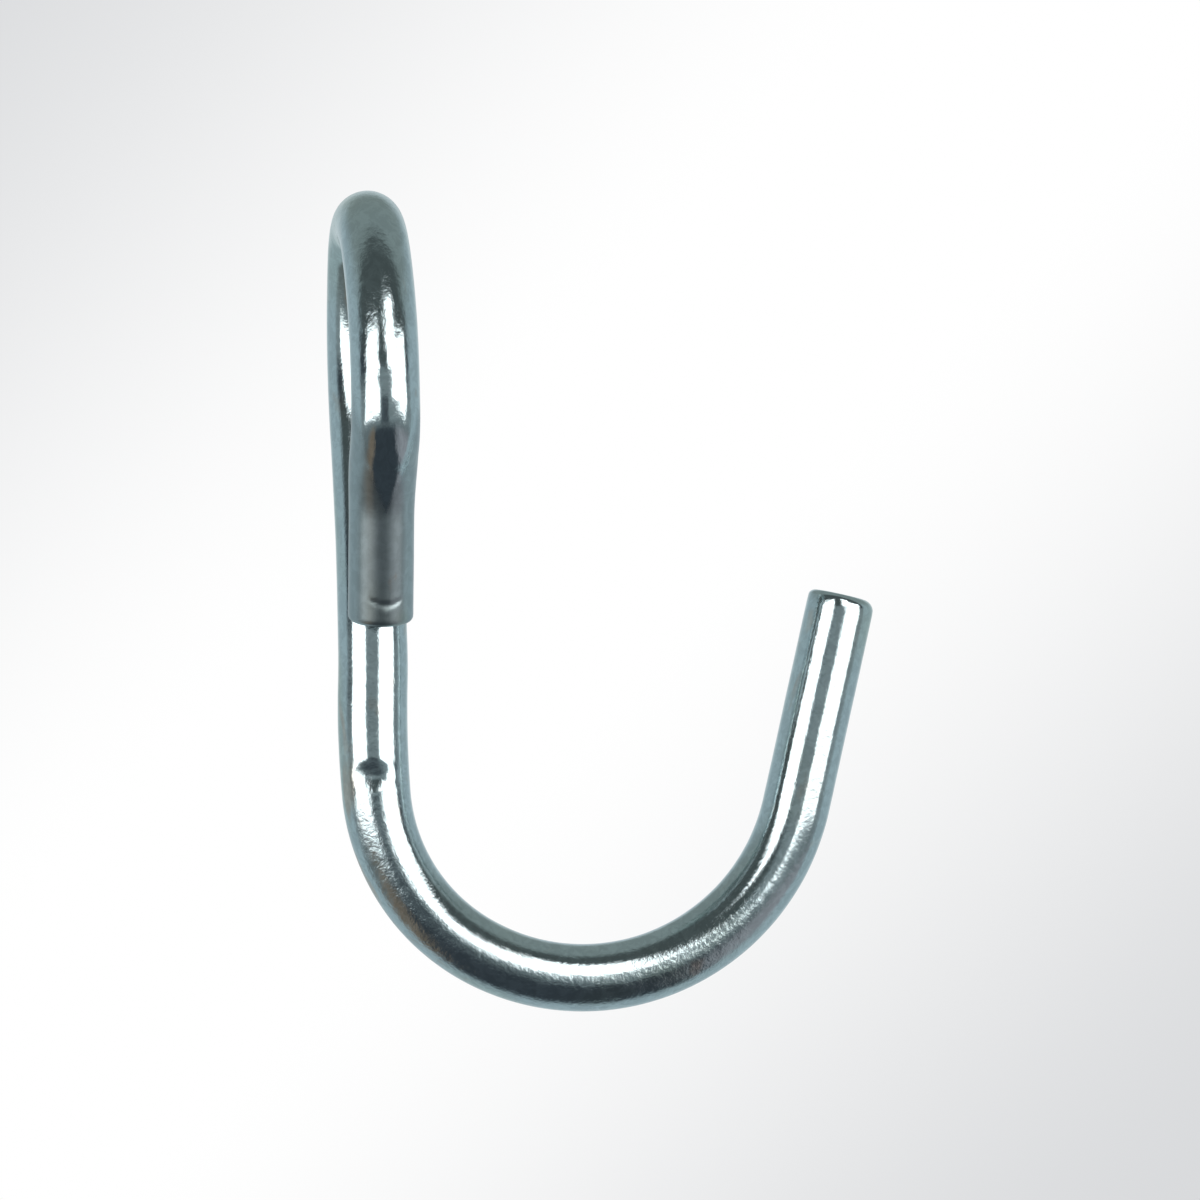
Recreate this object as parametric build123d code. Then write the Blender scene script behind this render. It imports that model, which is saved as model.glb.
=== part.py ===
from build123d import *

import os
from math import acos, cos, degrees, radians, sin

# A hanging hook: one round steel rod, cold bent into an open J with a blunt tip,
# a straight shank, and a closed teardrop eye at right angles to the J.
# Millimetres. The origin is the crown of the eye, on the inside, where the hook
# hangs. +Z is up along the shank, +X points from the shank to the tip, and the
# free end of the eye lies on the -Y side of the shank.

# Rod
ROD_DIAMETER = 8.0
ROD_RADIUS = ROD_DIAMETER / 2
TIP_ROUNDING = 0.9
TAIL_ROUNDING = 0.5

# Eye, as centre-line sizes
BACKSET = 5.25           # how far the rising strand bulges behind the shank
BACKSET_RADIUS = 85.0
REAR_RADIUS = 28.0       # the rear side turns upright and on towards the crown
REAR_TURN = 25.5
CROWN_REAR_RADIUS = 6.6
CROWN_FRONT_RADIUS = 10.5
CROWN_FRONT_TURN = 48.0
FRONT_RADIUS = 23.5      # the front side turns upright and a little past it
FRONT_TURN = 51.0
TUCK_RADIUS = 6.6        # the falling strand turns in towards the shank
TUCK_ANGLE = 43.0
RETURN_RADIUS = 17.5     # and turns back to lie along it
TAIL_SLOPE = 14.0
TAIL_GAP = 0.12          # hairline between the tail's end and the shank

# J, as centre-line sizes
SHANK_SET_RADIUS = 92.7  # the shank leans a little away from the tip before the J starts
SHANK_SET_TURN = 2.56
LEAD_RADIUS = 121.0
LEAD_TURN = 6.15
NEAR_BEND_RADIUS = 23.6
NEAR_BEND_TURN = 54.9
FAR_BEND_RADIUS = 26.2
FAR_BEND_TURN = 107.6
TIP_STRAIGHT = 25.5

# Marks of the bending tools: shallow round-bottomed dents
SHANK_DENT_HEIGHT = -60.8
SHANK_DENT_RADIUS = 2.5
SHANK_DENT_DEPTH = 0.6
SHANK_DENT_AZIMUTH = -13.0
TAIL_DENT_ABOVE_END = 3.4
TAIL_DENT_RADIUS = 0.9
TAIL_DENT_DEPTH = 0.3


def bend(edges, radius, turn):
    """Add an arc that carries on from the last edge; a positive turn is to the left."""
    last = edges[-1]
    edges.append(JernArc(start=last @ 1, tangent=last % 1, radius=radius, arc_size=turn))


def straight(edges, length):
    """Add a straight run that carries on from the last edge."""
    start = edges[-1] @ 1
    edges.append(Line(start, start + (edges[-1] % 1) * length))


def j_centre_line(shank_top):
    """From the foot of the eye down the shank, round the J and up to the tip."""
    start = Vector(0, shank_top)
    edges = [JernArc(start=start, tangent=(0, -1), radius=SHANK_SET_RADIUS, arc_size=-SHANK_SET_TURN)]
    bend(edges, LEAD_RADIUS, LEAD_TURN)
    bend(edges, NEAR_BEND_RADIUS, NEAR_BEND_TURN)
    bend(edges, FAR_BEND_RADIUS, FAR_BEND_TURN)
    straight(edges, TIP_STRAIGHT)
    return edges


def eye_centre_line(shank_top, backset_turn):
    """From the foot of the eye up, over the crown and down to the tail's end."""
    start = Vector(0, shank_top)
    edges = [JernArc(start=start, tangent=(0, 1), radius=BACKSET_RADIUS, arc_size=backset_turn)]
    bend(edges, REAR_RADIUS, -backset_turn - REAR_TURN)
    bend(edges, CROWN_REAR_RADIUS, REAR_TURN - 90)
    bend(edges, CROWN_FRONT_RADIUS, -CROWN_FRONT_TURN)
    bend(edges, FRONT_RADIUS, -FRONT_TURN)
    past_upright = CROWN_FRONT_TURN + FRONT_TURN - 90
    bend(edges, TUCK_RADIUS, past_upright - TUCK_ANGLE)
    bend(edges, RETURN_RADIUS, TUCK_ANGLE - TAIL_SLOPE)
    tail_end_offset = ROD_RADIUS * (1 + cos(radians(TAIL_SLOPE))) + TAIL_GAP
    straight(edges, ((edges[-1] @ 1).X - tail_end_offset) / sin(radians(TAIL_SLOPE)))
    return edges


def dent(centre, surface_direction, rod_axis, radius, depth):
    """A round bar laid across the rod, sunk into its surface by depth."""
    across = surface_direction.cross(rod_axis)
    bar_centre = centre + surface_direction * (ROD_RADIUS - depth + radius)
    return Plane(origin=bar_centre, z_dir=across) * Cylinder(radius, 2 * ROD_DIAMETER)


# The bend that carries the rising strand back by BACKSET, and the heights that follow
backset_reach = BACKSET_RADIUS + REAR_RADIUS
backset_turn = degrees(acos(1 - BACKSET / backset_reach))
backset_height = backset_reach * sin(radians(backset_turn))
rear_height = REAR_RADIUS * sin(radians(REAR_TURN)) + CROWN_REAR_RADIUS * (1 - sin(radians(REAR_TURN)))
rear_depth = REAR_RADIUS * (1 - cos(radians(REAR_TURN))) + CROWN_REAR_RADIUS * cos(radians(REAR_TURN))
shank_top = ROD_RADIUS - rear_height - backset_height
shank_offset = rear_depth - BACKSET

# The J lies in the XZ plane and the eye in the YZ plane, both through the shank
j_plane = Plane(origin=(0, shank_offset, 0), x_dir=(1, 0, 0), z_dir=(0, -1, 0))
eye_plane = Plane(origin=(0, shank_offset, 0), x_dir=(0, -1, 0), z_dir=(-1, 0, 0))
j_edges = [j_plane * edge for edge in j_centre_line(shank_top)]
eye_edges = [eye_plane * edge for edge in eye_centre_line(shank_top, backset_turn)]
centre_line = Wire(j_edges + eye_edges)

tip_end = j_edges[-1] @ 1
tip_direction = j_edges[-1] % 1
tail_end = eye_edges[-1] @ 1
tail_direction = eye_edges[-1] % 1

tip_section = Plane(origin=tip_end, z_dir=tip_direction) * Circle(ROD_RADIUS)
rod = sweep(tip_section, path=centre_line)


def end_rim(end):
    """The circular edge round one cut end of the rod."""
    return rod.edges().filter_by(GeomType.CIRCLE).sort_by_distance(end)[0]


rod = fillet(end_rim(tip_end), TIP_ROUNDING)
rod = fillet(end_rim(tail_end), TAIL_ROUNDING)

shank_dent_direction = Vector(0, -1, 0).rotate(Axis.Z, SHANK_DENT_AZIMUTH)
shank_dent = dent(
    Vector(0, shank_offset, SHANK_DENT_HEIGHT),
    shank_dent_direction,
    Vector(0, 0, 1),
    SHANK_DENT_RADIUS,
    SHANK_DENT_DEPTH,
)
tail_outward = tail_direction.rotate(Axis.X, -90)
tail_dent = dent(
    tail_end - tail_direction * TAIL_DENT_ABOVE_END,
    tail_outward,
    tail_direction,
    TAIL_DENT_RADIUS,
    TAIL_DENT_DEPTH,
)
rod = rod - shank_dent - tail_dent

os.makedirs("parts", exist_ok=True)
export_step(rod, "parts/hook_rod.step")

print("rod length", round(centre_line.length, 2), "mm, volume", round(rod.volume, 1), "mm3")
print("tip", tip_end, "along", tip_direction)
print("tail", tail_end, "along", tail_direction)
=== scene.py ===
from math import acos, cos, degrees, exp, pi, radians, sin, sqrt, tau

import bpy
from bpy.props import FloatProperty, FloatVectorProperty, IntProperty, PointerProperty
from mathutils import Matrix, Vector, noise


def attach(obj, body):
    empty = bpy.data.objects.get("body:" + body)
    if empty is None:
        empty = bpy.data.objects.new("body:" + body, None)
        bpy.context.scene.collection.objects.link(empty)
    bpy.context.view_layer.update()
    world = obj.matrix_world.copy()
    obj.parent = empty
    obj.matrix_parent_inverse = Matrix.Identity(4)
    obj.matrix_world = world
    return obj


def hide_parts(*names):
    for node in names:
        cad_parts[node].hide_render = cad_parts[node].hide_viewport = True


bl_info = {
    "name": "Hanging hook",
    "version": (1, 0, 0),
    "blender": (4, 5, 0),
    "location": "View3D > Sidebar > Hook",
    "description": "A zinc-plated hanging hook bent from one steel rod, and the studio it hangs in",
    "category": "Add Mesh",
}

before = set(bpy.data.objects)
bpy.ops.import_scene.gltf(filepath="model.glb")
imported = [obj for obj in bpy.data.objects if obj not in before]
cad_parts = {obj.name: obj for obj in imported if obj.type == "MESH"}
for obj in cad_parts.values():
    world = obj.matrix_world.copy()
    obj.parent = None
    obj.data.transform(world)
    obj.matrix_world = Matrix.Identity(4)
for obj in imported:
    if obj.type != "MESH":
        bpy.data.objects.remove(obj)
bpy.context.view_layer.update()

NODE = "hook_rod"
BODY = "root"
ROD_SPACE = "rod_space"     # mesh attribute: each point's place on the rod before it was bent


# ---------------------------------------------------------------- sizes and colours


class RodShape(bpy.types.PropertyGroup):
    """The rod's centre line, from the tip round the J, up the shank, over the eye and down its tail."""

    rod_diameter: FloatProperty(
        name="Rod diameter", description="Stock size of the round bar", default=0.008, unit="LENGTH")
    backset: FloatProperty(
        name="Backset", description="How far the rising strand bulges behind the shank",
        default=0.00525, unit="LENGTH")
    backset_radius: FloatProperty(
        name="Backset radius", description="Bend that carries the rising strand back",
        default=0.085, unit="LENGTH")
    rear_radius: FloatProperty(
        name="Rear radius", description="Bend of the eye's rear side", default=0.028, unit="LENGTH")
    rear_turn: FloatProperty(
        name="Rear turn", description="How far the rear side turns forward below the crown",
        default=radians(25.5), subtype="ANGLE")
    crown_rear_radius: FloatProperty(
        name="Crown rear radius", description="Bend from the rear side to the top of the eye",
        default=0.0066, unit="LENGTH")
    crown_front_radius: FloatProperty(
        name="Crown front radius", description="Bend from the top of the eye towards its front side",
        default=0.0105, unit="LENGTH")
    crown_front_turn: FloatProperty(
        name="Crown front turn", description="Turn of that bend", default=radians(48), subtype="ANGLE")
    front_radius: FloatProperty(
        name="Front radius", description="Bend of the eye's front side", default=0.0235, unit="LENGTH")
    front_turn: FloatProperty(
        name="Front turn", description="Turn of the front side, past upright",
        default=radians(51), subtype="ANGLE")
    tuck_radius: FloatProperty(
        name="Tuck radius", description="Bend that turns the falling strand in to the shank",
        default=0.0066, unit="LENGTH")
    tuck_angle: FloatProperty(
        name="Tuck angle", description="Steepest angle of the falling strand to the upright",
        default=radians(43), subtype="ANGLE")
    return_radius: FloatProperty(
        name="Return radius", description="Bend that lays the tail along the shank",
        default=0.0175, unit="LENGTH")
    tail_slope: FloatProperty(
        name="Tail slope", description="Angle left between the tail and the shank",
        default=radians(14), subtype="ANGLE")
    tail_gap: FloatProperty(
        name="Tail gap", description="Hairline between the tail's end and the shank",
        default=0.00012, unit="LENGTH")
    shank_set_radius: FloatProperty(
        name="Shank set radius", description="Bend between the eye and the J, away from the tip",
        default=0.0927, unit="LENGTH")
    shank_set_turn: FloatProperty(
        name="Shank set turn", description="Turn of that bend", default=radians(2.56), subtype="ANGLE")
    lead_radius: FloatProperty(
        name="Lead radius", description="Gentle bend that starts the J", default=0.121, unit="LENGTH")
    lead_turn: FloatProperty(
        name="Lead turn", description="Turn of the gentle bend", default=radians(6.15), subtype="ANGLE")
    near_bend_radius: FloatProperty(
        name="Near bend radius", description="J's bend on the shank's side",
        default=0.0236, unit="LENGTH")
    near_bend_turn: FloatProperty(
        name="Near bend turn", description="Turn of that bend", default=radians(54.9), subtype="ANGLE")
    far_bend_radius: FloatProperty(
        name="Far bend radius", description="J's bend on the tip's side",
        default=0.0262, unit="LENGTH")
    far_bend_turn: FloatProperty(
        name="Far bend turn", description="Turn of that bend", default=radians(107.6), subtype="ANGLE")
    tip_straight: FloatProperty(
        name="Tip straight", description="Straight run that ends in the tip",
        default=0.0255, unit="LENGTH")
    sides: IntProperty(
        name="Sides", description="Facets round the rod's section", default=112, min=24)
    step: FloatProperty(
        name="Step", description="Distance between sections along the rod",
        default=0.00027, unit="LENGTH")


class RodMarks(bpy.types.PropertyGroup):
    """What cutting and bending left on the rod."""

    tip_rounding: FloatProperty(
        name="Tip rounding", description="Radius of the rim round the tip's cut end",
        default=0.0011, unit="LENGTH")
    tip_rounding_lean: FloatProperty(
        name="Tip rounding lean", description="How much larger that radius is on the outer side",
        default=0.0003, unit="LENGTH")
    tail_rounding: FloatProperty(
        name="Tail rounding", description="Radius of the rim round the tail's cut end",
        default=0.0007, unit="LENGTH")
    dimple_height: FloatProperty(
        name="Dimple height", description="Height of the clamp's dimple on the shank",
        default=-0.0608, unit="LENGTH")
    dimple_azimuth: FloatProperty(
        name="Dimple azimuth", description="Its turn round the shank from the front",
        default=radians(-13), subtype="ANGLE")
    dimple_half_width: FloatProperty(
        name="Dimple half width", description="Reach of the dimple round the rod", default=0.0026,
        unit="LENGTH")
    dimple_half_height: FloatProperty(
        name="Dimple half height", description="Reach of the dimple along the rod", default=0.0020,
        unit="LENGTH")
    dimple_depth: FloatProperty(
        name="Dimple depth", description="Depth of the dimple", default=0.00034, unit="LENGTH")
    notch_above_end: FloatProperty(
        name="Notch above end", description="Distance of the tool's nick from the tail's end",
        default=0.0034, unit="LENGTH")
    notch_half_width: FloatProperty(
        name="Notch half width", description="Reach of the nick round the rod", default=0.0019,
        unit="LENGTH")
    notch_depth: FloatProperty(
        name="Notch depth", description="Depth of the nick", default=0.00012, unit="LENGTH")
    ripple: FloatProperty(
        name="Ripple", description="Height of the slow waves that drawing leaves on the rod",
        default=0.000014, unit="LENGTH")
    crown_ripple: FloatProperty(
        name="Crown ripple", description="Height of the creases on the outside of the eye's bend",
        default=0.00003, unit="LENGTH")


class ZincFinish(bpy.types.PropertyGroup):
    """Bright blue-white zinc plating."""

    zinc: FloatVectorProperty(
        name="Zinc", description="Colour of the clean plating", subtype="COLOR", size=4,
        default=(0.60, 0.70, 0.72, 1))
    olive: FloatVectorProperty(
        name="Olive", description="Colour of the passivation's yellowish patches",
        subtype="COLOR", size=4, default=(0.54, 0.62, 0.53, 1))
    stain: FloatVectorProperty(
        name="Stain", description="Colour of the faint brown stains", subtype="COLOR", size=4,
        default=(0.60, 0.54, 0.47, 1))
    roughness: FloatProperty(
        name="Roughness", description="Roughness of the bright plating", default=0.09, min=0, max=1)
    haze: FloatProperty(
        name="Haze", description="Added roughness where the bends have clouded the plating",
        default=0.07, min=0, max=1)
    tail_haze: FloatProperty(
        name="Tail haze", description="Added roughness of the dull tail", default=0.23, min=0, max=1)


class Studio(bpy.types.PropertyGroup):
    """Camera, backdrop and lights."""

    camera_distance: FloatProperty(
        name="Camera distance", description="From the shank to the camera", default=0.9, unit="LENGTH")
    lens: FloatProperty(
        name="Lens", description="Focal length in millimetres", default=228.66)
    yaw: FloatProperty(
        name="Yaw", description="Turn of the camera round the hook, from square on to the J",
        default=radians(8.81), subtype="ANGLE")
    roll: FloatProperty(
        name="Roll", description="Lean of the hook in the camera's view", default=radians(1.28),
        subtype="ANGLE")
    aside: FloatProperty(
        name="Aside", description="Distance of the camera's axis to the right of the eye",
        default=0.02785, unit="LENGTH")
    drop: FloatProperty(
        name="Drop", description="Distance of the camera's axis below the inside of the eye's crown",
        default=0.04013, unit="LENGTH")
    floor_drop: FloatProperty(
        name="Floor drop", description="Depth of the floor below the inside of the eye's crown",
        default=0.25, unit="LENGTH")
    floor_radius: FloatProperty(
        name="Floor radius", description="Reach of the round floor", default=0.6, unit="LENGTH")
    backdrop_radius: FloatProperty(
        name="Backdrop radius", description="Reach of the pale shell round the set", default=3.0,
        unit="LENGTH")
    backdrop: FloatVectorProperty(
        name="Backdrop", description="Colour of the backdrop behind the hook", subtype="COLOR", size=4,
        default=(1.0, 1.0, 1.0, 1))
    # painted shade: the glowing backdrop's dim corners and the floor's darker middle take this colour
    painted_shade_colour: FloatVectorProperty(
        name="Backdrop edge", description="Colour of the backdrop where its light falls off",
        subtype="COLOR", size=4, default=(0.69, 0.70, 0.715, 1))
    panel_strength: FloatProperty(
        name="Panel strength", description="Brightness of the light panels", default=2.6)
    surround: FloatVectorProperty(
        name="Surround", description="Light that the room behind and overhead gives", subtype="COLOR",
        size=4, default=(0.40, 0.485, 0.52, 1))
    dark: FloatVectorProperty(
        name="Dark", description="Light from the dark parts of the room", subtype="COLOR", size=4,
        default=(0.045, 0.055, 0.066, 1))
    table: FloatVectorProperty(
        name="Table", description="Light from the grey table in front and below",
        subtype="COLOR", size=4, default=(0.26, 0.30, 0.31, 1))
    overhead: FloatVectorProperty(
        name="Overhead", description="Light from the dim ceiling", subtype="COLOR", size=4,
        default=(0.26, 0.305, 0.30, 1))
    behind: FloatVectorProperty(
        name="Behind", description="Light from the bright wall behind the hook",
        subtype="COLOR", size=4, default=(0.58, 0.66, 0.69, 1))
    ceiling_front: FloatVectorProperty(
        name="Ceiling front", description="Light from high up on the camera's side", subtype="COLOR",
        size=4, default=(0.085, 0.10, 0.10, 1))
    low_left: FloatVectorProperty(
        name="Low left", description="Light from low on the left", subtype="COLOR", size=4,
        default=(0.17, 0.19, 0.195, 1))
    low_right: FloatVectorProperty(
        name="Low right", description="Light from low on the right", subtype="COLOR", size=4,
        default=(0.33, 0.325, 0.35, 1))
    warm_corner: FloatVectorProperty(
        name="Warm corner", description="Warm light from low on the left", subtype="COLOR", size=4,
        default=(0.22, 0.17, 0.13, 1))


# ---------------------------------------------------------------- shader maths


class Value:
    """A shader socket on which Python's operators add Math nodes."""

    def __init__(self, graph, socket):
        self.graph = graph
        self.socket = socket

    def maths(self, operation, *others):
        sockets = dict(enumerate((self, *others)))
        return self.graph.add("ShaderNodeMath", {"operation": operation}, sockets)

    def reflected(self, operation, other):
        return self.graph.add("ShaderNodeMath", {"operation": operation}, {0: other, 1: self})

    def __add__(self, other):
        return self.maths("ADD", other)

    __radd__ = __add__

    def __sub__(self, other):
        return self.maths("SUBTRACT", other)

    def __rsub__(self, other):
        return self.reflected("SUBTRACT", other)

    def __mul__(self, other):
        return self.maths("MULTIPLY", other)

    __rmul__ = __mul__


class Graph:
    """Adds nodes to one material's or world's tree."""

    def __init__(self, tree):
        self.tree = tree
        self.tree.nodes.clear()

    def add(self, kind, settings=None, sockets=None, output=0):
        """A node of that kind, with its settings made first, then its sockets' values or links."""
        node = self.tree.nodes.new(kind)
        for name, setting in (settings or {}).items():
            setattr(node, name, setting)
        for key, value in (sockets or {}).items():
            if isinstance(value, Value):
                self.tree.links.new(value.socket, node.inputs[key])
            else:
                node.inputs[key].default_value = value
        return Value(self, node.outputs[output]) if node.outputs else node

    def ease(self, value, low, high):
        """0 below low, 1 above high, smooth between; low above high turns it round."""
        return self.add(
            "ShaderNodeMapRange", {"interpolation_type": "SMOOTHSTEP"},
            {"Value": value, "From Min": low, "From Max": high})

    def band(self, value, low, high, soft):
        """1 between low and high, falling to 0 over soft on each side."""
        rise = self.ease(value, low - soft / 2, low + soft / 2)
        fall = self.ease(value, high + soft / 2, high - soft / 2)
        return rise * fall

    def mix(self, factor, first, second):
        """Two colours mixed by factor."""
        return self.add(
            "ShaderNodeMix", {"data_type": "RGBA"}, {0: factor, 6: first, 7: second}, output=2)

    def noise(self, vector, scale, detail=2.0, roughness=0.5, distortion=0.0):
        """Cloudy noise between 0 and 1."""
        return self.add(
            "ShaderNodeTexNoise", {},
            {"Vector": vector, "Scale": scale, "Detail": detail, "Roughness": roughness,
             "Distortion": distortion})

    def stretch(self, vector, scale):
        """A vector scaled along each axis."""
        return self.add("ShaderNodeVectorMath", {"operation": "MULTIPLY"}, {0: vector, 1: scale})


# ---------------------------------------------------------------- the rod's centre line


class Turtle:
    """Walks the rod's centre line in one plane and keeps the stations it passes."""

    def __init__(self, place, heading, left, step):
        self.place = place.copy()
        self.heading = heading.normalized()
        self.left = left.normalized()
        self.step = step
        self.stations = [(self.place.copy(), self.heading.copy())]

    def keep(self):
        """Note the present place and heading as a station."""
        self.stations.append((self.place.copy(), self.heading.copy()))

    def straight(self, length):
        """A straight run."""
        count = max(1, round(length / self.step))
        for _ in range(count):
            self.place += self.heading * (length / count)
            self.keep()

    def bend(self, radius, turn):
        """An arc; a positive turn is to the left."""
        side = 1 if turn > 0 else -1
        centre = self.place + self.left * (radius * side)
        heading, left = self.heading.copy(), self.left.copy()
        count = max(1, round(radius * abs(turn) / self.step))
        for i in range(1, count + 1):
            angle = turn * i / count
            self.heading = heading * cos(angle) + left * sin(angle)
            self.left = left * cos(angle) - heading * sin(angle)
            self.place = centre - self.left * (radius * side)
            self.keep()


class CentreLine:
    """Stations along the rod from the tip to the tail: place, direction, front and side.

    The front is -Y on the J and the shank, and points into the eye where the rod goes over it. The side
    is +X on the shank and in the eye, and points into the J.
    """

    def __init__(self, shape):
        radius = shape.rod_diameter / 2
        step = shape.step
        reach = shape.backset_radius + shape.rear_radius
        backset_turn = acos(1 - shape.backset / reach)
        rear_turn = shape.rear_turn
        depth = shape.rear_radius * (1 - cos(rear_turn)) + shape.crown_rear_radius * cos(rear_turn)
        rise = shape.rear_radius * sin(rear_turn) + shape.crown_rear_radius * (1 - sin(rear_turn))
        rise += reach * sin(backset_turn)
        self.shank = Vector((0, depth - shape.backset, radius - rise))

        down = Turtle(self.shank, Vector((0, 0, -1)), Vector((1, 0, 0)), step)
        down.bend(shape.shank_set_radius, -shape.shank_set_turn)
        down.bend(shape.lead_radius, shape.lead_turn)
        down.bend(shape.near_bend_radius, shape.near_bend_turn)
        down.bend(shape.far_bend_radius, shape.far_bend_turn)
        down.straight(shape.tip_straight)

        up = Turtle(self.shank, Vector((0, 0, 1)), Vector((0, 1, 0)), step)
        up.bend(shape.backset_radius, backset_turn)
        up.bend(shape.rear_radius, -backset_turn - rear_turn)
        up.bend(shape.crown_rear_radius, rear_turn - pi / 2)
        crown_station = len(up.stations)
        up.bend(shape.crown_front_radius, -shape.crown_front_turn)
        up.bend(shape.front_radius, -shape.front_turn)
        past = shape.crown_front_turn + shape.front_turn - pi / 2
        up.bend(shape.tuck_radius, past - shape.tuck_angle)
        up.bend(shape.return_radius, shape.tuck_angle - shape.tail_slope)
        lie = self.shank.y - up.place.y
        clear = radius * (1 + cos(shape.tail_slope)) + shape.tail_gap
        up.straight((lie - clear) / sin(shape.tail_slope))

        front, side = Vector((0, -1, 0)), Vector((1, 0, 0))
        self.stations = []
        for place, heading in reversed(down.stations[1:]):
            along = -heading
            self.stations.append((place, along, front, along.cross(front)))
        for place, along in up.stations:
            self.stations.append((place, along, side.cross(along), side))
        self.distances = [0.0]
        for before, after in zip(self.stations, self.stations[1:]):
            self.distances.append(self.distances[-1] + (after[0] - before[0]).length)
        self.length = self.distances[-1]
        self.shank_distance = self.distances[len(down.stations) - 1]
        self.crown_distance = self.distances[len(down.stations) + crown_station - 2]

    def distance_at_height(self, height):
        """Distance along the rod where the shank and the start of the J pass that height."""
        near_shank = self.shank.x + 0.004
        below = [
            (abs(station[0].z - height), distance)
            for station, distance in zip(self.stations, self.distances)
            if station[0].x < near_shank and distance <= self.shank_distance
        ]
        return min(below)[1]


# ---------------------------------------------------------------- the rod's surface


def bump(value):
    """A smooth hill of height 1 at 0 that ends at 1."""
    return (1 - value * value) ** 2 if abs(value) < 1 else 0.0


def ramp(value, low, high):
    """0 below low, 1 above high, smooth between."""
    share = min(1, max(0, (value - low) / (high - low)))
    return share * share * (3 - 2 * share)


def waves(spot, across, lengthwise, shift):
    """Smooth noise over the rod's skin; spot is in millimetres and shift moves the noise."""
    place = Vector((spot.x * across, spot.y * across, spot.z * lengthwise))
    return noise.noise(place + Vector(shift))


class RodSurface:
    """How far each point of the rod's skin lies from its centre line."""

    def __init__(self, shape, marks, line):
        self.radius = shape.rod_diameter / 2
        self.marks = marks
        self.line = line
        self.dimple_distance = line.distance_at_height(marks.dimple_height)
        self.notch_distance = line.length - marks.notch_above_end
        self.crown_start = line.crown_distance - 0.004
        self.crown_end = line.crown_distance + 0.040

    def offset_round(self, angle, middle):
        """Distance round the rod from the angle middle."""
        turn = (angle - middle + pi) % tau - pi
        return turn * self.radius

    def dimple(self, distance, angle):
        """The clamp's round dimple, with a faint lip that is higher on one side."""
        bowl_edge, lip_middle, lip_width, far_out = 1.05, 1.12, 0.16, 1.7
        lip_height, lip_lean = 0.10, 0.4
        marks = self.marks
        along = (distance - self.dimple_distance) / marks.dimple_half_height
        around = self.offset_round(angle, marks.dimple_azimuth) / marks.dimple_half_width
        reach = sqrt(along * along + around * around)
        if reach > far_out:
            return 0.0
        bowl = bump(reach / bowl_edge)
        lip = exp(-((reach - lip_middle) / lip_width) ** 2) * (0.6 + lip_lean * around)
        return -marks.dimple_depth * bowl + lip_height * marks.dimple_depth * lip

    def notch(self, distance, angle):
        """The crescent nick across the tail's outer side: steep above and gentle below."""
        middle = pi - 0.05
        end, end_fade = 1.15, 0.3
        crescent_sag, steep_width, gentle = 0.00055, 0.00042, 2.1
        marks = self.marks
        around = self.offset_round(angle, middle) / marks.notch_half_width
        if abs(around) >= end:
            return 0.0
        sag = crescent_sag * (1 - around * around)
        along = distance - self.notch_distance - sag
        width = steep_width * (end - abs(around)) ** 0.5
        sharp = along / width if along < 0 else along / (gentle * width)
        return -marks.notch_depth * bump(sharp) * ramp(end - abs(around), 0, end_fade)

    def ripple(self, distance, angle):
        """Slow waves all along the rod, and creases on the outer side of the eye's bend."""
        rise, fall = 0.01, 0.012
        spot = Vector((cos(angle) * self.radius, sin(angle) * self.radius, distance)) * 1000
        slow = waves(spot, 0.30, 0.16, (7.1, 0, 3.3))
        fine = waves(spot, 0.9, 0.5, (0, 21.7, 0))
        height = self.marks.ripple * (slow + 0.45 * fine)
        outside = ramp(-cos(angle), 0.0, 0.8)
        bent = ramp(distance, self.crown_start, self.crown_start + rise)
        bent *= 1 - ramp(distance, self.crown_end - fall, self.crown_end)
        creases = waves(spot, 0.55, 0.42, (0, 0, 91.0))
        creases += 0.5 * waves(spot, 1.1, 1.3, (0, 0, 0))
        return height + self.marks.crown_ripple * creases * outside * bent

    def spread(self, distance, angle):
        """Pressing widened the shank a little and left the tail a little narrow."""
        wider, narrower = 0.030, 0.045
        below_eye, half_length = 0.006, 0.020
        line = self.line
        shank = bump((distance - line.shank_distance + below_eye) / half_length)
        tail = ramp(distance, line.length - 0.020, line.length - 0.012)
        sideways = sin(angle) ** 2
        return self.radius * sideways * (wider * shank - narrower * tail)

    def radius_at(self, distance, angle):
        """The rod's radius at a distance along it and an angle round it from the front."""
        dimple_reach, notch_reach = 0.004, 0.003
        change = self.spread(distance, angle) + self.ripple(distance, angle)
        if abs(distance - self.dimple_distance) < dimple_reach:
            change += self.dimple(distance, angle)
        if abs(distance - self.notch_distance) < notch_reach:
            change += self.notch(distance, angle)
        return self.radius + change


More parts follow.
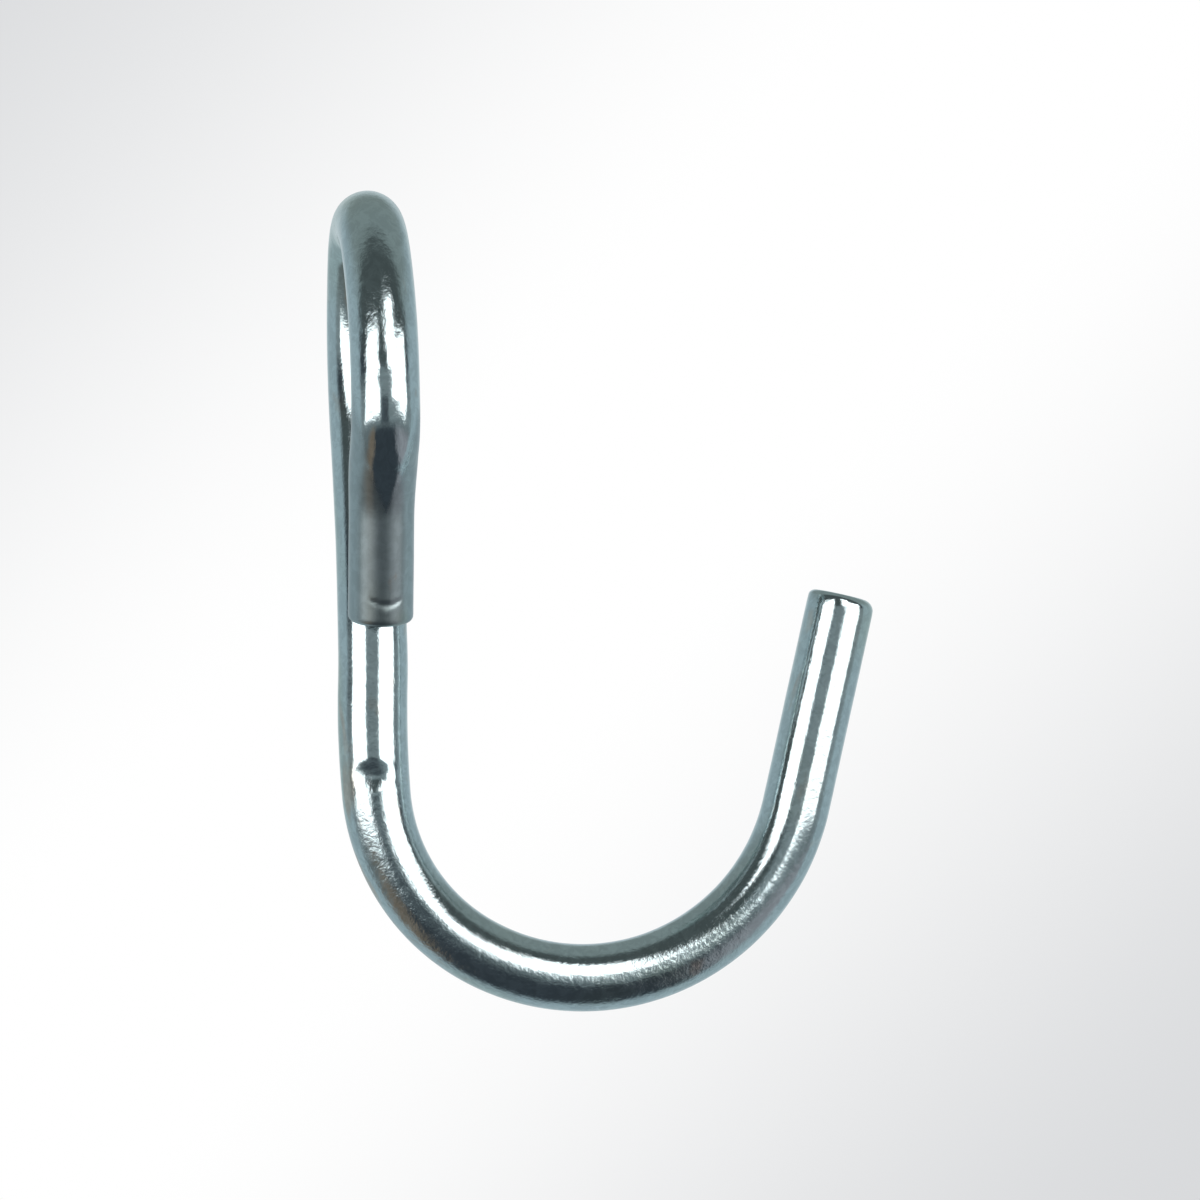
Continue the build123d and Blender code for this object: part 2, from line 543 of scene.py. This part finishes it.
def rod_mesh(shape, marks):
    """The rod's skin as vertices, faces and each vertex's place on the straight rod."""
    line = CentreLine(shape)
    surface = RodSurface(shape, marks, line)
    sides = shape.sides
    angles = [tau * i / sides for i in range(sides)]
    vertices, straight_places, rings = [], [], []

    def add_ring(station, distance, shrink, shift):
        """One section: shrink gives the loss of radius at an angle and shift the move along the rod."""
        place, along, front, side = station
        ring = []
        for angle in angles:
            reach = surface.radius_at(distance, angle) - shrink(angle)
            slide = shift(angle)
            direction = front * cos(angle) + side * sin(angle)
            ring.append(len(vertices))
            vertices.append(place + along * slide + direction * reach)
            straight_places.append((cos(angle) * reach, sin(angle) * reach, distance + slide))
        rings.append(ring)

    def add_end(station, distance, rounding, inward):
        """The rounded rim and the face of a cut end, from the face's middle outwards."""
        face_rings = 9
        rim_rings = 6
        sections = []
        for i in range(1, face_rings + 1):
            share = i / (face_rings + 1)
            sections.append((
                lambda angle, share=share: surface.radius * (1 - share) + rounding(angle) * share,
                lambda angle: 0.0))
        for i in range(rim_rings):
            turn = pi / 2 * i / rim_rings
            sections.append((
                lambda angle, turn=turn: rounding(angle) * (1 - sin(turn)),
                lambda angle, turn=turn: inward * rounding(angle) * (1 - cos(turn))))
        if inward < 0:
            sections.reverse()
        for shrink, shift in sections:
            add_ring(station, distance, shrink, shift)

    def tip_rounding(angle):
        return marks.tip_rounding - marks.tip_rounding_lean * sin(angle)

    def tail_rounding(angle):
        return marks.tail_rounding

    first, last = line.stations[0], line.stations[-1]
    add_end(first, 0.0, tip_rounding, 1)
    tip_clear = marks.tip_rounding + marks.tip_rounding_lean
    for station, distance in zip(line.stations, line.distances):
        if tip_clear < distance < line.length - marks.tail_rounding:
            add_ring(station, distance, lambda angle: 0.0, lambda angle: 0.0)
    add_end(last, line.length, tail_rounding, -1)

    faces = []
    for ring, following in zip(rings, rings[1:]):
        for i in range(sides):
            j = (i + 1) % sides
            faces.append((ring[i], ring[j], following[j], following[i]))
    for ring, station, distance, turned in (
            (rings[0], first, 0.0, True), (rings[-1], last, line.length, False)):
        middle = len(vertices)
        vertices.append(station[0])
        straight_places.append((0, 0, distance))
        for i in range(sides):
            j = (i + 1) % sides
            faces.append((ring[j], ring[i], middle) if turned else (ring[i], ring[j], middle))
    return vertices, faces, straight_places


# ---------------------------------------------------------------- the plating


def zinc_material(finish, line):
    """Bright blue-white zinc over drawn steel: fine draw lines, cloudy bends and faint stains, and a
    painted shade that darkens the colour of the dull tail.
    """
    material = bpy.data.materials.new("blue_white_zinc")
    material.use_nodes = True
    graph = Graph(material.node_tree)
    rod = graph.add("ShaderNodeAttribute", {"attribute_name": ROD_SPACE}, output=1)
    to_front, to_side, along = (
        graph.add("ShaderNodeSeparateXYZ", {}, {"Vector": rod}, output=axis) for axis in range(3))

    bend_start, bend_end, bend_fade = 0.036, 0.098, 0.014
    outer = graph.ease(to_side, 0.0012, -0.0022)
    bend = graph.band(along, bend_start, bend_end, bend_fade) * (0.25 + 0.75 * outer)
    crown = graph.band(along, line.crown_distance, line.crown_distance + 0.022, 0.006)
    crown = crown * graph.ease(to_front, -0.0005, -0.0028)
    # the tail mask makes the tail's end dull and rough, and it also darkens the colour there as a
    # painted shade
    dull_and_shaded_from, dull_and_shaded_full, point = 0.0165, 0.0130, 3.2
    pointed = along + point * to_side.maths("ABSOLUTE")
    tail = graph.ease(pointed, line.length - dull_and_shaded_from, line.length - dull_and_shaded_full)
    worked = bend.maths("MAXIMUM", crown * 0.45)

    clouds = graph.noise(rod, 700, detail=6, roughness=0.68, distortion=0.6)
    grain = graph.noise(rod, 2300, detail=3, roughness=0.6)
    draw_lines = graph.noise(graph.stretch(rod, (1, 1, 0.03)), 2600, detail=3, roughness=0.6)
    cloudy = graph.ease(clouds, 0.42, 0.60)

    slow = graph.noise(graph.stretch(rod, (1, 1, 0.4)), 120, detail=2)
    eye_top = graph.band(along, line.crown_distance - 0.012, line.crown_distance + 0.004, 0.008)
    olive = graph.ease(slow, 0.50, 0.70) * 0.55 + eye_top * 0.35
    tint = graph.mix(olive, tuple(finish.zinc), tuple(finish.olive))
    specks = graph.noise(graph.stretch(rod, (1, 1, 0.45)), 260, detail=3, distortion=0.5)
    worn = graph.band(along, 0.072, 0.106, 0.010) * graph.ease(to_side, -0.0012, -0.0030)
    stained = graph.ease(specks + 0.16 * worn, 0.62, 0.78)
    colour = graph.mix(stained * 0.8, tint, tuple(finish.stain))
    # painted shade: the colour is darkened by 28 percent on the dull tail; the cloudy part is random
    # tone in the plating
    shade = (0.91 + 0.12 * cloudy) * (1 - 0.28 * tail)
    shaded = graph.add("ShaderNodeVectorMath", {"operation": "SCALE"}, {0: colour, 3: shade})

    roughness = finish.roughness + finish.haze * worked * (0.4 + cloudy) + finish.tail_haze * tail
    roughness = roughness + 0.05 * (draw_lines - 0.5)
    relief = (0.55 + 1.3 * worked) * (1 - 0.9 * tail)
    height = relief * (grain * 0.9 + clouds * 1.2) + 0.25 * draw_lines
    normal = graph.add(
        "ShaderNodeBump", {}, {"Strength": 0.8, "Distance": 0.000034, "Height": height})
    shader = graph.add(
        "ShaderNodeBsdfPrincipled", {},
        {"Base Color": shaded, "Metallic": 1.0, "Roughness": roughness, "Normal": normal})
    graph.add("ShaderNodeOutputMaterial", {}, {"Surface": shader})
    return material


# ---------------------------------------------------------------- the studio


def light_panels(graph, azimuth, elevation):
    """1 on the panels at the camera's left and right and the one above it, 0 elsewhere.

    Azimuths run to the camera's right and elevations up, in degrees.
    """
    fade = 4
    outer, inner, top, sill = -70, -22, 34, -14
    left = graph.ease(azimuth - 0.6 * elevation, outer, outer + fade)
    left = left * graph.ease(azimuth, inner + fade, inner)
    left = left * graph.ease(elevation - 0.27 * azimuth, top + 5, top)
    left = left * graph.ease(elevation, sill, sill + fade)

    inner, outer, top, sill = 22, 73, 18, -3
    right = graph.band(azimuth, inner, outer, fade)
    right = right * graph.ease(elevation, top + fade, top)
    right = right * graph.ease(elevation + 0.17 * azimuth, sill, sill + fade)

    inner, outer, top, sill = 9, 38, 44, 10
    above = graph.band(azimuth, inner, outer, fade) * graph.band(elevation, sill, top, fade)
    cut_corner = graph.ease(azimuth + 1.2 * elevation, 22, 29)
    above = above * cut_corner
    return left.maths("MAXIMUM", right).maths("MAXIMUM", above)


def paint_surroundings(studio, right, towards):
    """The light that reaches the hook: panels at the camera's sides and above it, in a dim room."""
    world = bpy.data.worlds.new("studio_light")
    world.use_nodes = True
    graph = Graph(world.node_tree)
    direction = graph.add("ShaderNodeTexCoord", output=0)

    def part(axis):
        return graph.add(
            "ShaderNodeVectorMath", {"operation": "DOT_PRODUCT"},
            {0: direction, 1: tuple(axis)}, output=1)

    sideways, facing, height = part(right), part(towards), part(Vector((0, 0, 1)))
    azimuth = sideways.maths("ARCTAN2", facing) * degrees(1)
    elevation = height.maths("ARCSINE") * degrees(1)

    # the grey table in front, darker right under the camera, and the grey wall round the camera
    table = graph.ease(elevation, -30, -12) * graph.ease(elevation, 6, -2)
    under_camera = graph.band(azimuth, -14, 13, 8) * graph.band(elevation, -20, -4, 5)
    table = table * (1 - 0.85 * under_camera)
    camera_side = graph.band(azimuth, -24, 22, 4) * graph.band(elevation, -4, 10, 6)
    grey = table.maths("MAXIMUM", camera_side)

    # the dark elsewhere in front: low down it is paler on both sides and warm on the left
    low_down = graph.ease(sideways.maths("ABSOLUTE"), 0.50, 0.66) * graph.ease(elevation, -16, -26)
    low_colour = graph.mix(
        graph.ease(sideways, -0.1, 0.1), tuple(studio.low_left), tuple(studio.low_right))
    warm = graph.band(sideways, -0.78, -0.54, 0.12) * graph.ease(elevation, -14, -26)
    dark = graph.mix(graph.ease(elevation, 6, 16), tuple(studio.dark), tuple(studio.ceiling_front))
    dark = graph.mix(low_down, dark, low_colour)
    dark = graph.mix(warm, dark, tuple(studio.warm_corner))
    room = graph.mix(grey, dark, tuple(studio.table))

    # the sides, the ceiling and the brighter wall behind the hook
    around = graph.mix(
        graph.ease(height, 0.15, 0.62), tuple(studio.surround), tuple(studio.overhead))
    around = graph.mix(graph.ease(facing, -0.74, -0.98), around, tuple(studio.behind))
    turned_away = facing.maths("ARCCOSINE") * degrees(1) + 10 * height
    room = graph.mix(graph.ease(turned_away, 84, 98), room, around)

    panels = light_panels(graph, azimuth, elevation)
    strength = studio.panel_strength
    light = graph.mix(panels, room, (strength, strength, strength, 1))
    shader = graph.add("ShaderNodeBackground", {}, {"Color": light, "Strength": 1.0})
    graph.add("ShaderNodeOutputWorld", {}, {"Surface": shader})
    bpy.context.scene.world = world


def add_stage(name, vertices, faces, material):
    """A piece of the set that only the camera sees."""
    mesh = bpy.data.meshes.new(name)
    mesh.from_pydata(vertices, [], faces)
    mesh.polygons.foreach_set("use_smooth", [True] * len(mesh.polygons))
    mesh.materials.append(material)
    thing = bpy.data.objects.new(name, mesh)
    bpy.context.scene.collection.objects.link(thing)
    for rays in ("diffuse", "glossy", "transmission", "shadow"):
        setattr(thing, "visible_" + rays, False)


def pale_shell(studio, right):
    """A large pale shell round the set that glows; its brightness is painted, falling off from a bright
    middle band towards two opposite corners.
    """
    radius = studio.backdrop_radius
    rows, columns = 24, 48
    vertices = []
    for row in range(1, rows):
        polar = pi * row / rows
        for column in range(columns):
            turn = tau * column / columns
            vertices.append((
                radius * sin(polar) * cos(turn), radius * sin(polar) * sin(turn), radius * cos(polar)))
    top, bottom = len(vertices), len(vertices) + 1
    vertices += [(0, 0, radius), (0, 0, -radius)]
    faces = []
    for column in range(columns):
        after = (column + 1) % columns
        faces.append((column, after, top))
        last = (rows - 2) * columns
        faces.append((last + after, last + column, bottom))
        for row in range(rows - 2):
            near, far = row * columns, (row + 1) * columns
            faces.append((near + column, far + column, far + after, near + after))

    material = bpy.data.materials.new("pale_backdrop")
    material.use_nodes = True
    graph = Graph(material.node_tree)
    place = graph.add("ShaderNodeTexCoord", output=3)
    diagonal = (Vector((0, 0, 1)) - right).normalized()
    across = graph.add(
        "ShaderNodeVectorMath", {"operation": "DOT_PRODUCT"}, {0: place, 1: tuple(diagonal)}, output=1)
    # painted light: the glowing shell is brightest along a band through the middle and dims towards two
    # opposite corners
    bright_middle, bright_reach, dim_reach = 0.012, 0.06, 0.485
    off_middle = (across + bright_middle).maths("ABSOLUTE")
    painted_falloff = graph.ease(off_middle, bright_reach, dim_reach)
    colour = graph.mix(painted_falloff, tuple(studio.backdrop), tuple(studio.painted_shade_colour))
    glow = graph.add("ShaderNodeEmission", {}, {"Color": colour, "Strength": 1.0})
    graph.add("ShaderNodeOutputMaterial", {}, {"Surface": glow})
    add_stage("backdrop", vertices, faces, material)


def floor_with_painted_shade(studio):
    """A round glowing floor well below the hook, with a painted shade that darkens its middle under the
    hook.
    """
    columns = 64
    vertices = [(0, 0, -studio.floor_drop)]
    for column in range(columns):
        turn = tau * column / columns
        vertices.append((
            studio.floor_radius * cos(turn), studio.floor_radius * sin(turn), -studio.floor_drop))
    faces = [(0, 1 + column, 1 + (column + 1) % columns) for column in range(columns)]

    material = bpy.data.materials.new("floor_with_painted_shade")
    material.use_nodes = True
    graph = Graph(material.node_tree)
    place = graph.add("ShaderNodeTexCoord", output=3)
    reach = graph.add("ShaderNodeVectorMath", {"operation": "LENGTH"}, {0: place}, output=1)
    # painted shade: the floor is darkest in its middle, under the hook, and pale towards its rim
    fade = graph.ease(reach, studio.floor_radius * 0.2, studio.floor_radius)
    colour = graph.mix(fade, tuple(studio.painted_shade_colour), tuple(studio.backdrop))
    glow = graph.add("ShaderNodeEmission", {}, {"Color": colour, "Strength": 1.0})
    graph.add("ShaderNodeOutputMaterial", {}, {"Surface": glow})
    add_stage("floor", vertices, faces, material)


def place_camera(studio, line, right, forward):
    """A long lens, level with the middle of the hook and a little to one side of square on."""
    up = Vector((0, 0, 1))
    across = right * cos(studio.roll) - up * sin(studio.roll)
    upward = right * sin(studio.roll) + up * cos(studio.roll)
    eye = Vector((line.shank.x, line.shank.y, 0))
    place = eye + across * studio.aside - upward * studio.drop - forward * studio.camera_distance
    data = bpy.data.cameras.new("camera")
    data.lens = studio.lens
    data.clip_start = 0.01
    data.clip_end = 10
    camera = bpy.data.objects.new("camera", data)
    axes = Matrix((across, upward, -forward)).transposed()
    camera.matrix_world = Matrix.Translation(place) @ axes.to_4x4()
    bpy.context.scene.collection.objects.link(camera)
    bpy.context.scene.camera = camera


# ---------------------------------------------------------------- operators


class HOOK_OT_rod(bpy.types.Operator):
    """Make the bent rod with its tool marks and its zinc plating"""

    bl_idname = "hook.rod"
    bl_label = "Rod"

    def execute(self, context):
        scene = context.scene
        vertices, faces, straight_places = rod_mesh(scene.hook_shape, scene.hook_marks)
        mesh = bpy.data.meshes.new("bent_rod")
        mesh.from_pydata(vertices, [], faces)
        mesh.polygons.foreach_set("use_smooth", [True] * len(mesh.polygons))
        places = mesh.attributes.new(ROD_SPACE, "FLOAT_VECTOR", "POINT")
        places.data.foreach_set("vector", [part for place in straight_places for part in place])
        mesh.materials.append(zinc_material(scene.hook_finish, CentreLine(scene.hook_shape)))
        rod = bpy.data.objects.new("bent_rod", mesh)
        scene.collection.objects.link(rod)
        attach(rod, BODY)
        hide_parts(NODE)
        return {"FINISHED"}


class HOOK_OT_studio(bpy.types.Operator):
    """Make the camera, the pale backdrop and floor, and the soft light"""

    bl_idname = "hook.studio"
    bl_label = "Studio"

    def execute(self, context):
        scene = context.scene
        studio = scene.hook_studio
        right = Vector((cos(studio.yaw), -sin(studio.yaw), 0))
        forward = Vector((sin(studio.yaw), cos(studio.yaw), 0))
        place_camera(studio, CentreLine(scene.hook_shape), right, forward)
        paint_surroundings(studio, right, -forward)

        pale_shell(studio, right)
        floor_with_painted_shade(studio)
        scene.view_settings.view_transform = "Standard"
        return {"FINISHED"}


class HOOK_PT_parts(bpy.types.Panel):
    """The hook's pieces and their sizes"""

    bl_label = "Hanging hook"
    bl_space_type = "VIEW_3D"
    bl_region_type = "UI"
    bl_category = "Hook"

    def draw(self, context):
        layout = self.layout
        for operator in OPERATORS:
            layout.operator(operator.bl_idname)
        for name in GROUPS:
            group = getattr(context.scene, name)
            box = layout.box()
            for key in group.__annotations__:
                box.prop(group, key)


GROUPS = {
    "hook_shape": RodShape, "hook_marks": RodMarks, "hook_finish": ZincFinish, "hook_studio": Studio}
OPERATORS = (HOOK_OT_rod, HOOK_OT_studio)
CLASSES = (*GROUPS.values(), *OPERATORS, HOOK_PT_parts)


def register():
    for part in CLASSES:
        bpy.utils.register_class(part)
    for name, group in GROUPS.items():
        setattr(bpy.types.Scene, name, PointerProperty(type=group))


def unregister():
    for name in GROUPS:
        delattr(bpy.types.Scene, name)
    for part in reversed(CLASSES):
        bpy.utils.unregister_class(part)


def main():
    register()
    for operator in OPERATORS:
        family, name = operator.bl_idname.split(".")
        getattr(getattr(bpy.ops, family), name)()


if __name__ == "__main__":
    main()
